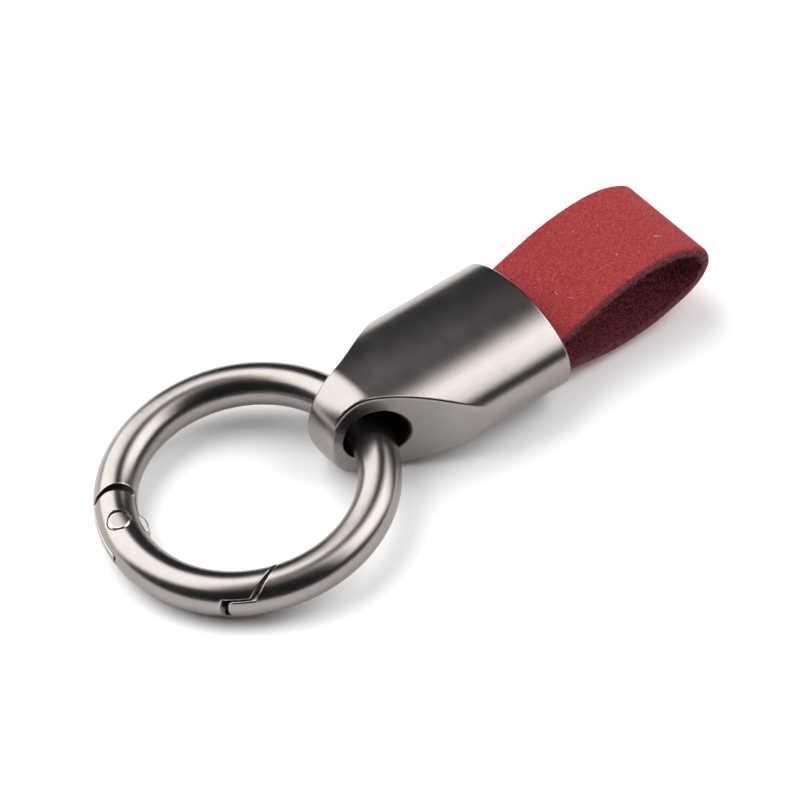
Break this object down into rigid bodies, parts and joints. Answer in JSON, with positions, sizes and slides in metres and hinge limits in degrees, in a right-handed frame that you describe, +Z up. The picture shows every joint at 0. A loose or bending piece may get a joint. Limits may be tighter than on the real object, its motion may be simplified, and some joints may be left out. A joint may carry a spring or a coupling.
{
  "type": "key holder",
  "caption": "Key holder with a folded flat leather strap, a cast metal cap that clasps its ends, and a round spring-gate ring through the cap's eye.",
  "frame": {"origin": "on the floor under the middle of the whole part as it lies in the picture", "axes": "+X runs from the ring to the fold of the strap, +Y across the strap, +Z up from the floor"},
  "size_m": [0.0788, 0.035, 0.0124],
  "materials": {
    "satin_metal": "satin gunmetal plating on a zinc casting",
    "rivet_metal": "filed and plated",
    "spring_steel": "drawn wire",
    "red_leather": "napped red leather with raw cut edges",
    "clear_glue": "set adhesive"
  },
  "bodies": {
    "cap": {"cap_shell": "satin_metal", "strap": "red_leather", "strap_glue": "clear_glue"},
    "ring": {"ring_body": "satin_metal"},
    "gate": {"gate": "satin_metal", "hinge_rivet": "rivet_metal", "gate_spring": "spring_steel"},
    "plunger": {"gate_plunger": "spring_steel"}
  },
  "joints": [
    {"name": "ring_swing", "type": "hinge", "parent": "cap", "child": "ring", "pos_m": [-0.00713, -0.0012, 0.00548], "axis": [0.0798, 0.9968, 0.008], "range_deg": [-25, 105]},
    {"name": "gate_hinge", "type": "hinge", "parent": "ring", "child": "gate", "pos_m": [-0.0363, 0.00431, 0.00256], "axis": [-0.0994, 0, 0.995], "range_deg": [0, 30], "stiffness_Nm_per_rad": 0.02, "springref_deg": -20.05},
    {"name": "plunger_slide", "type": "slide", "parent": "gate", "child": "plunger", "axis": [0.0481, -0.9988, 0.0048], "range_m": [0, 0.0007], "deforming": ["gate_spring"]}
  ],
  "couplings": [
    {"joint": "plunger_slide", "follows": "gate_hinge", "m_per_rad": 0.001146}
  ]
}
